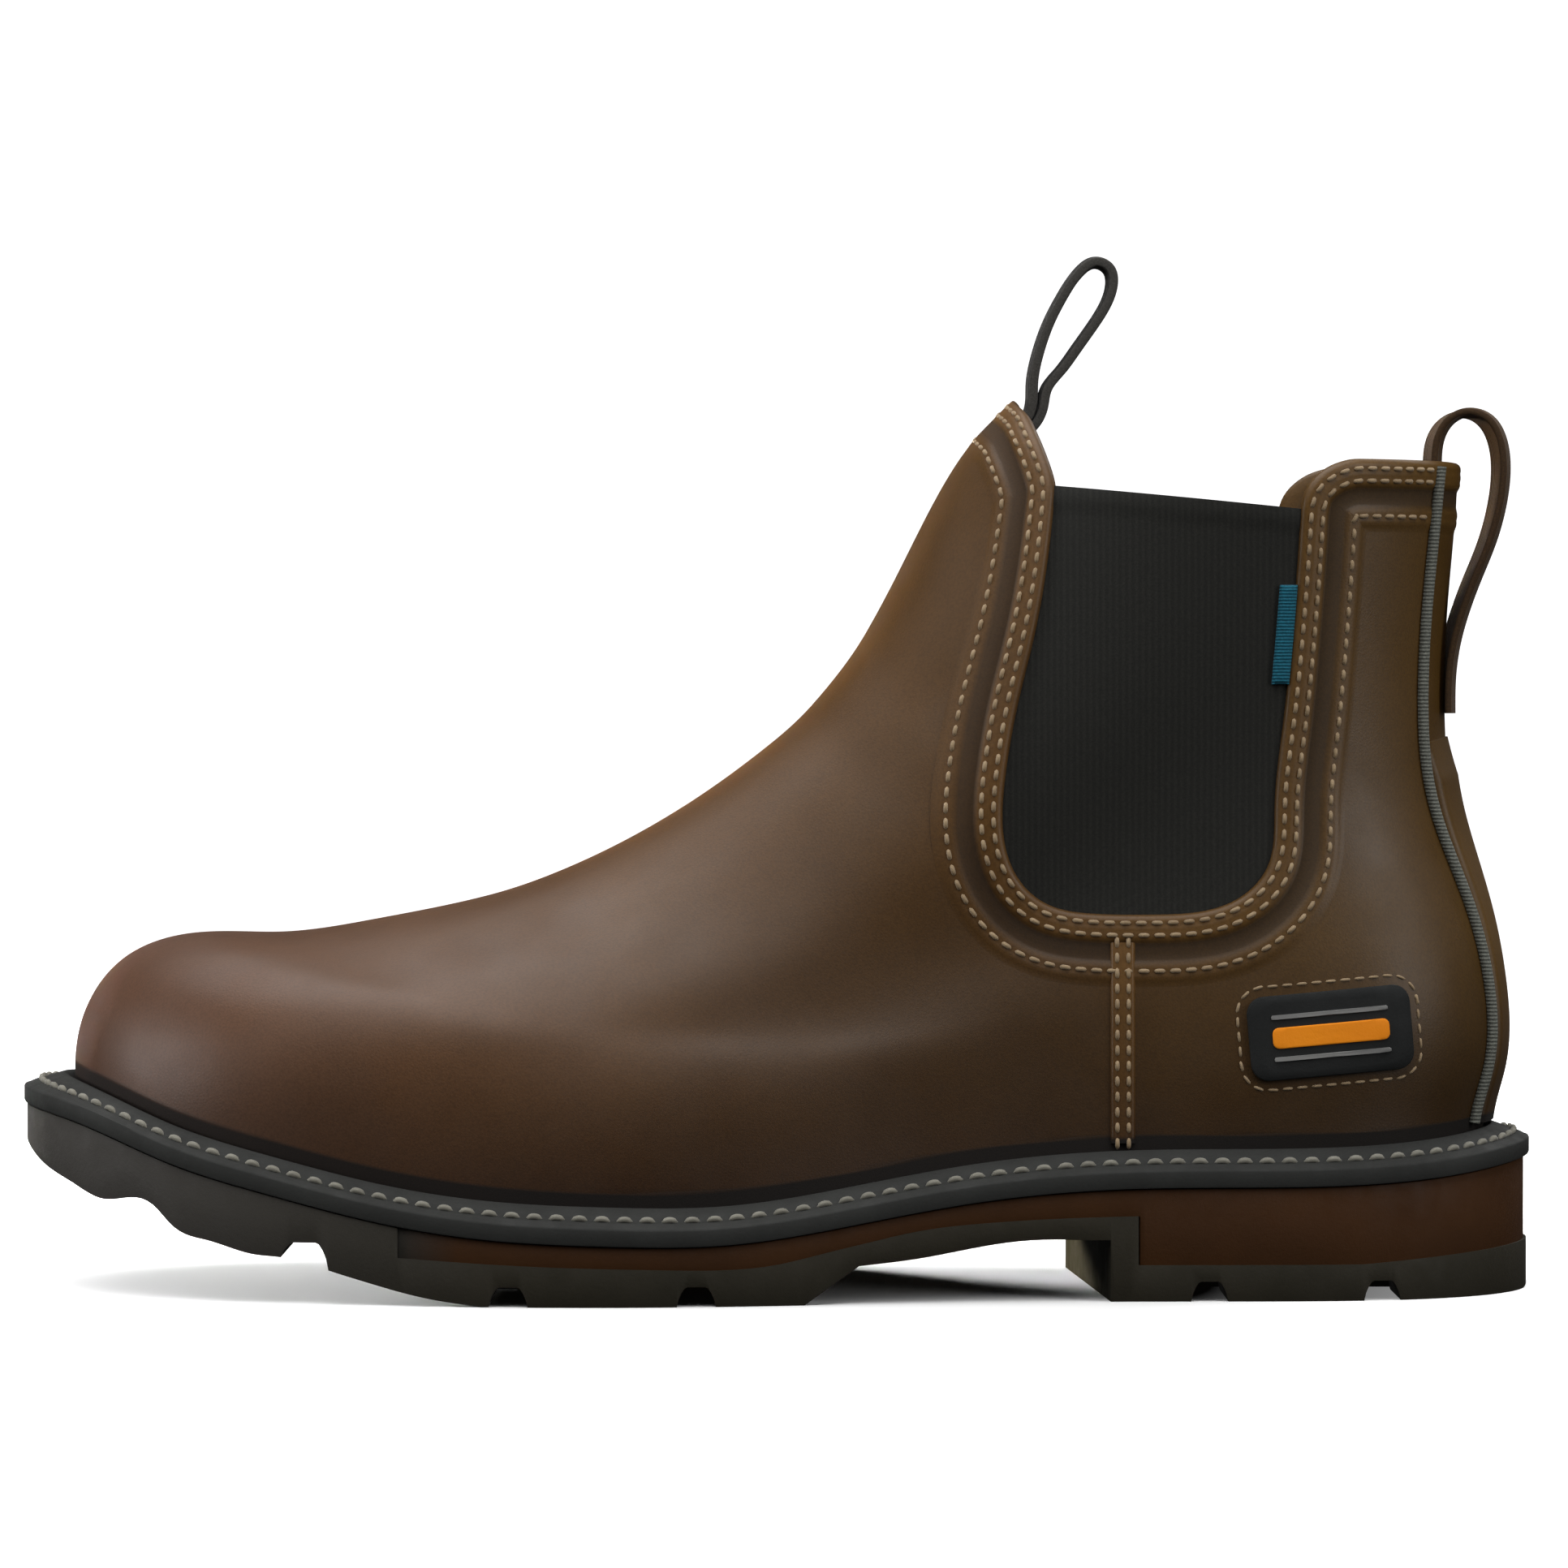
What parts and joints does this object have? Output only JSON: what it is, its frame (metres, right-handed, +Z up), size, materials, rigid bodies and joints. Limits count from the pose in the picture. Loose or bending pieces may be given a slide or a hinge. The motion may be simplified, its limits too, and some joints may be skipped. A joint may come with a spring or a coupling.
{
  "type": "side gore work boot",
  "caption": "Ankle-high pull-on leather work boot for the left foot with elastic side gores, lugged rubber sole, stitched welt and pull loops at the collar.",
  "frame": {"origin": "on the floor under the middle of the boot's bounding box", "axes": "toe points to -X, heel to +X, the outer side of the foot to -Y, +Z up"},
  "size_m": [0.3112, 0.1158, 0.2118],
  "materials": {
    "leather": "oiled brown leather with soft sheen",
    "outsole_rubber": "matte dark grey rubber",
    "midsole_rubber": "matte dark brown rubber",
    "gore_elastic": "black ribbed elastic",
    "piping_cover": "grey green covered cord",
    "front_webbing": "black woven webbing",
    "back_webbing": "brown woven webbing",
    "footbed_foam": "cloth-covered foam",
    "patch_rubber": "black moulded rubber",
    "tab_cloth": "teal woven tape"
  },
  "bodies": {
    "root": {"outsole": "outsole_rubber", "midsole": "midsole_rubber", "welt": "outsole_rubber", "insole": "footbed_foam", "upper": "leather", "gore_outer": "gore_elastic", "gore_inner": "gore_elastic", "back_stay": "leather", "piping_outer": "piping_cover", "piping_inner": "piping_cover", "seam_strip_outer": "leather", "seam_strip_inner": "leather", "heel_patch": "patch_rubber", "gore_tab": "tab_cloth", "pull_loop_front": "front_webbing", "pull_loop_back": "back_webbing"}
  },
  "joints": []
}
